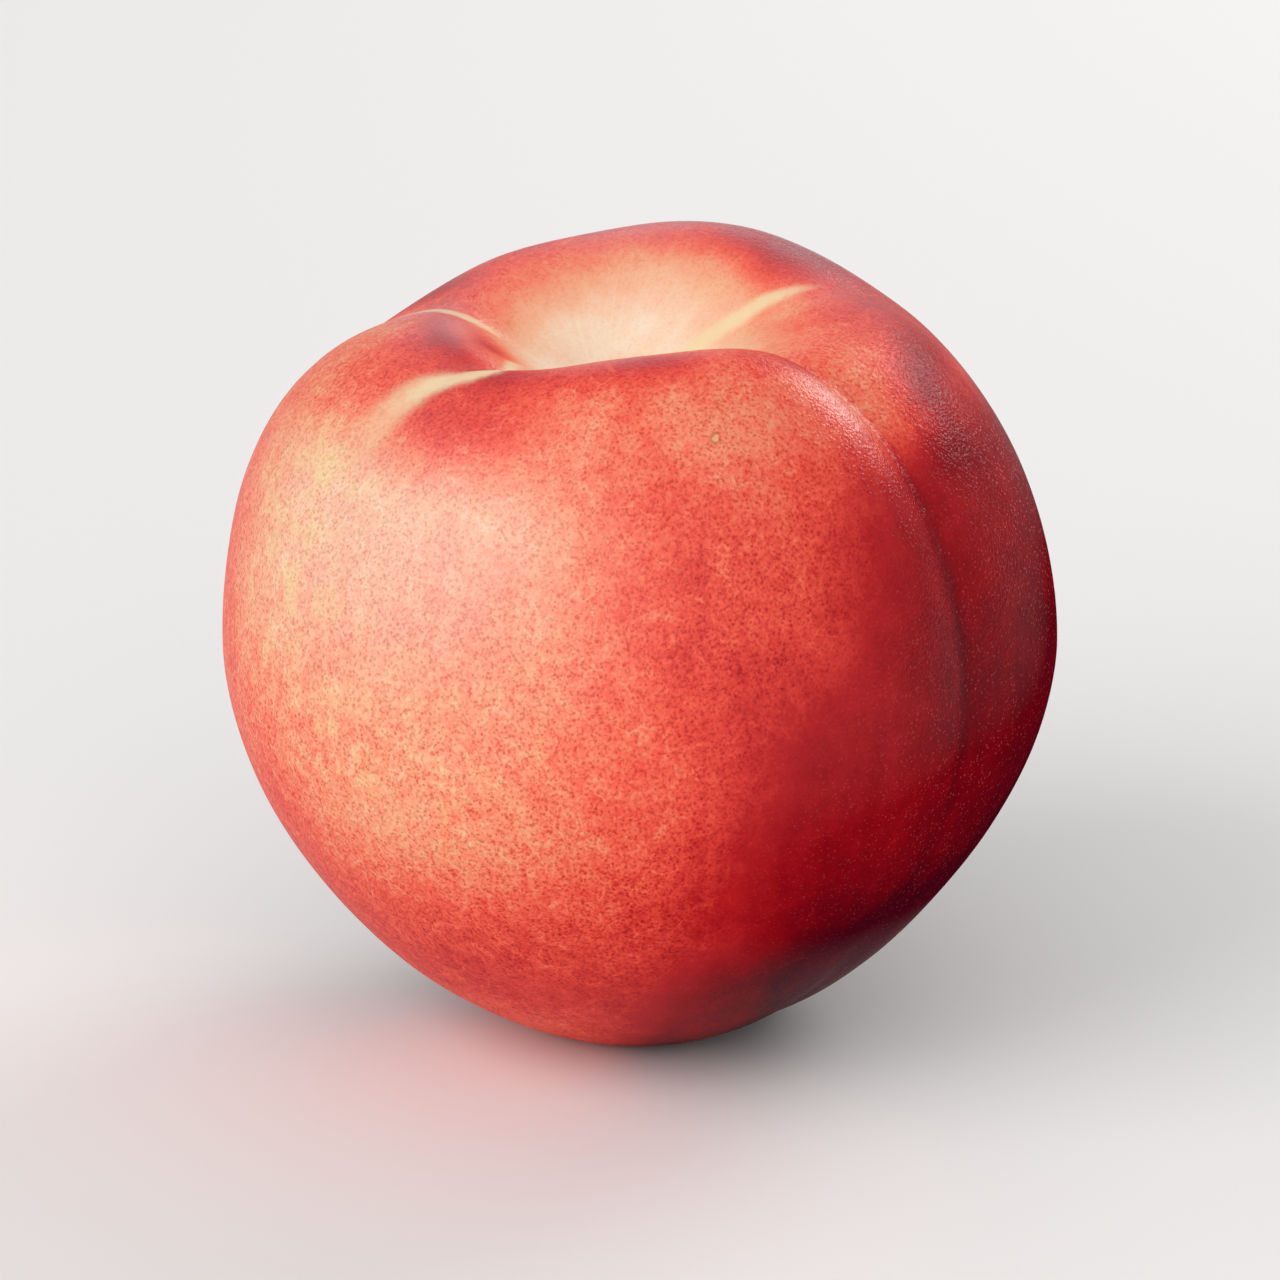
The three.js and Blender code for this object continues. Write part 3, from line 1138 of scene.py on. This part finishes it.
    def lenticel_layer(self, on: SkinReading, ripe: Feed) -> Layer:
        """Pale lenticels of uneven size on the red skin."""
        cells = self.lenticels.build(on.tree, on.place)
        away = add_node(on.tree, "Math", {
            0: cells.outputs["Color"], 1: self.lenticel_variety, 2: cells.outputs["Distance"]},
            **TIMES_PLUS)
        spots = add_node(on.tree, "MapRange", self.lenticel_spot.of(away), **SMOOTH)
        red = add_node(on.tree, "MapRange", self.lenticel_on_red.of(ripe))
        return Layer((spots, red, on.share[SkinMap.FRECKLE]), linear(self.lenticel))

    def healed_layers(self, on: SkinReading) -> list[Layer]:
        """Rings of the healed mark, the outer one first."""
        away = add_node(on.tree, "VectorMath", {0: on.place, 1: on.mark},
                        operation="DISTANCE").outputs["Value"]
        uneven = add_node(on.tree, "Math", {
            0: self.healed_swing.build(on.tree, on.place), 1: on.mark_radius, 2: away},
            **TIMES_PLUS)
        layers = []
        for size, colour, most in self.healed_rings:
            edge = size * on.mark_radius
            ring = Fade(edge, edge * self.healed_full, 0.0, most)
            cover = add_node(on.tree, "MapRange", ring.of(uneven), **SMOOTH)
            layers.append(Layer((cover,), linear(colour)))
        return layers

    def cork_layer(self, on: SkinReading) -> Layer:
        """The dry, corky scars with a ragged edge."""
        bark = add_node(on.tree, "TexNoise", self.cork_grain.at(on.place))
        colour = add_node(on.tree, "Mix", {
            FACTOR: bark, BELOW: linear(self.cork_dark), ABOVE: linear(self.cork)},
            data_type="RGBA").outputs[MIXED]
        ragged = add_node(on.tree, "Math", {
            0: on.share[SkinMap.CORK], 1: self.cork_swing.build(on.tree, on.place)}, **PLUS)
        cover = add_node(on.tree, "MapRange", self.cork_cover.of(ragged))
        return Layer((cover,), colour)

    def colour(self, on: SkinReading) -> NodeSocket:
        """The finished colour, with everything that lies over the blush."""
        ripe = self.ripeness(on)
        dark = self.dark_grain(on)
        colour = self.by_ripeness(on, ripe, dark)
        for layer in (
            self.yellow_layer(on, ripe),
            self.shade_layer(on, ripe, dark),
            self.bloom_and_sheen_layer(on),
            self.streak_layer(on),
            self.lenticel_layer(on, ripe),
            *self.healed_layers(on),
            self.cork_layer(on),
        ):
            cover, *others = layer.factors
            for factor in others:
                cover = add_node(on.tree, "Math", {0: cover, 1: factor}, **TIMES)
            colour = add_node(on.tree, "Mix", {
                FACTOR: cover, BELOW: colour, ABOVE: layer.colour},
                data_type="RGBA", blend_type=layer.blend.value).outputs[MIXED]
        return colour

    def material(self, mark: Vector, mark_radius: float) -> Material:
        """Builds the skin's material.

        Args:
            mark: Where the healed mark is, in metres.
            mark_radius: Of the healed mark, in metres.

        Returns:
            The new material.
        """
        made = bpy.data.materials.new("waxy_nectarine_skin")
        tree = cleared_tree(made)
        place = add_node(tree, "TexCoord").outputs["Object"]
        value = {each: add_node(tree, "Attribute", attribute_name=each.value) for each in SkinMap}
        share = {each: node.outputs["Fac"] for each, node in value.items()}
        lengthwise = value[SkinMap.GRAIN].outputs["Vector"]
        on = SkinReading(tree, place, lengthwise, share, mark, mark_radius)
        peel = add_node(tree, "TexNoise", self.peel.at(place))
        gentle = add_node(tree, "Bump", {
            "Strength": self.peel_strength, "Distance": self.peel_depth_mm * MM,
            "Height": peel})
        pits = add_node(tree, "TexNoise", self.pits.at(place))
        pitted = add_node(tree, "Bump", {
            "Strength": 1.0, "Distance": self.pit_depth_mm * MM, "Height": pits,
            "Normal": gentle})
        skin = add_node(tree, "BsdfPrincipled", {
            "Base Color": self.colour(on), "Roughness": self.skin_roughness,
            "Normal": gentle, "IOR": self.skin_ior, "Specular IOR Level": 0.0,
            "Coat Weight": share[SkinMap.GLOSS], "Coat Roughness": self.wax_roughness,
            "Coat IOR": self.wax_ior, "Coat Normal": pitted,
            "Subsurface Weight": self.clear_share, "Subsurface Radius": self.clear_reach,
            "Subsurface Scale": self.clear_depth_mm * MM,
        })
        add_node(tree, "OutputMaterial", {"Surface": skin})
        return made


@dataclass(frozen=True)
class StudioPaper:
    """Matt seamless background paper, which gives an even pale ground and a soft shadow."""

    colour: str = "#f3f2f0"
    roughness: float = 0.9

    def material(self) -> Material:
        """Builds the paper's material."""
        made = bpy.data.materials.new("matt_background_paper")
        tree = cleared_tree(made)
        sheet = add_node(tree, "BsdfPrincipled", {
            "Base Color": linear(self.colour), "Roughness": self.roughness})
        add_node(tree, "OutputMaterial", {"Surface": sheet})
        return made


# ---- studio


@dataclass(frozen=True)
class Stand:
    """Where a light or the camera stands and faces the fruit.

    Attributes:
        azimuth: Its bearing from the fruit.
        elevation: How high it stands, in degrees.
        distance: From the fruit in metres.
    """

    azimuth: float
    elevation: float
    distance: float

    def hold(self, held: ID, target: Vector) -> Object:
        """Adds the object that a light or a camera needs, aimed at the target."""
        stand = bpy.data.objects.new(held.name, held)
        way = bearing(self.azimuth, self.elevation)
        stand.location = target + way * self.distance
        stand.rotation_euler = way.to_track_quat("Z", "Y").to_euler()
        bpy.context.scene.collection.objects.link(stand)
        return stand


@dataclass(frozen=True)
class SoftBox:
    """A square soft light.

    Attributes:
        name: Its name in the scene.
        stand: Where it stands.
        side: Length of its side in metres.
        power: In watts.
    """

    name: str
    stand: Stand
    side: float
    power: float

    def build(self, target: Vector) -> None:
        """Adds the light, aimed at the target."""
        lamp = bpy.data.lights.new(self.name, "AREA")
        lamp.energy, lamp.size = self.power, self.side
        self.stand.hold(lamp, target)


@dataclass
class Studio:
    """Floor, surroundings, lights and camera, in metres.

    Attributes:
        target: What the lights and the camera face.
        fruit_share: Share of the frame's width that the fruit takes up.
        sensor: Width of the camera's sensor in mm.
        nearest: Where the camera starts to see.
    """

    target: Vector
    camera: Stand = Stand(-47, 20, 0.95)
    fruit_share: float = 0.65
    fruit_width: float = 0.070
    sensor: float = 36.0
    nearest: float = 0.01
    floor_side: float = 12.0
    surround: str = "#f4f4f6"
    surround_strength: float = 0.44
    lights: tuple[SoftBox, ...] = (
        SoftBox("key_softbox", Stand(-102, 34, 0.9), 0.70, 4.2),
        SoftBox("front_softbox", Stand(-40, 36, 1.1), 1.10, 3.15),
        SoftBox("side_softbox", Stand(92, 29, 0.8), 0.36, 2.1),
        SoftBox("rim_softbox", Stand(124, 32, 0.8), 0.50, 0.5),
    )

    def build_floor(self) -> Object:
        """Lays the paper floor under the fruit."""
        sheet = bmesh.new()
        bmesh.ops.create_grid(sheet, x_segments=1, y_segments=1, size=self.floor_side / 2)
        mesh = bpy.data.meshes.new("paper_floor")
        sheet.to_mesh(mesh)
        sheet.free()
        mesh.materials.append(StudioPaper().material())
        floor = bpy.data.objects.new("paper_floor", mesh)
        bpy.context.scene.collection.objects.link(floor)
        return floor

    def build_surround(self) -> None:
        """Surrounds the scene with an even pale light."""
        world = bpy.data.worlds.new("pale_surround")
        tree = cleared_tree(world)
        glow = add_node(tree, "Background", {
            "Color": linear(self.surround), "Strength": self.surround_strength})
        add_node(tree, "OutputWorld", {"Surface": glow})
        bpy.context.scene.world = world

    def build_camera(self) -> None:
        """Sets up the camera so that the fruit fills its share of the frame."""
        lens = bpy.data.cameras.new("camera")
        lens.sensor_width = self.sensor
        frame_width = self.fruit_width / self.fruit_share
        lens.lens = self.sensor * self.camera.distance / frame_width
        lens.clip_start = self.nearest
        bpy.context.scene.camera = self.camera.hold(lens, self.target)

    def build(self) -> Object:
        """Builds the studio.

        Returns:
            The floor.
        """
        self.build_surround()
        for light in self.lights:
            light.build(self.target)
        self.build_camera()
        bpy.context.scene.view_settings.view_transform = "Standard"
        return self.build_floor()


def main() -> None:
    """Builds the fruit and its studio."""
    logging.basicConfig(level=logging.INFO, format="%(name)s: %(message)s")
    fruit = Nectarine()
    skin = fruit.build()
    finish = WaxySkin().material(fruit.marked, fruit.mark_radius * MM)
    skin.data.materials.append(finish)
    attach(skin, BODY)
    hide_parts(NODE)
    LOG.info("skin: %d vertices, %d faces", len(skin.data.vertices), len(skin.data.polygons))
    studio = Studio(target=Vector((0, 0, fruit.form.foot_depth * MM)))
    studio.build()
    LOG.info("studio: %d lights", len(studio.lights))


if __name__ == "__main__":
    main()
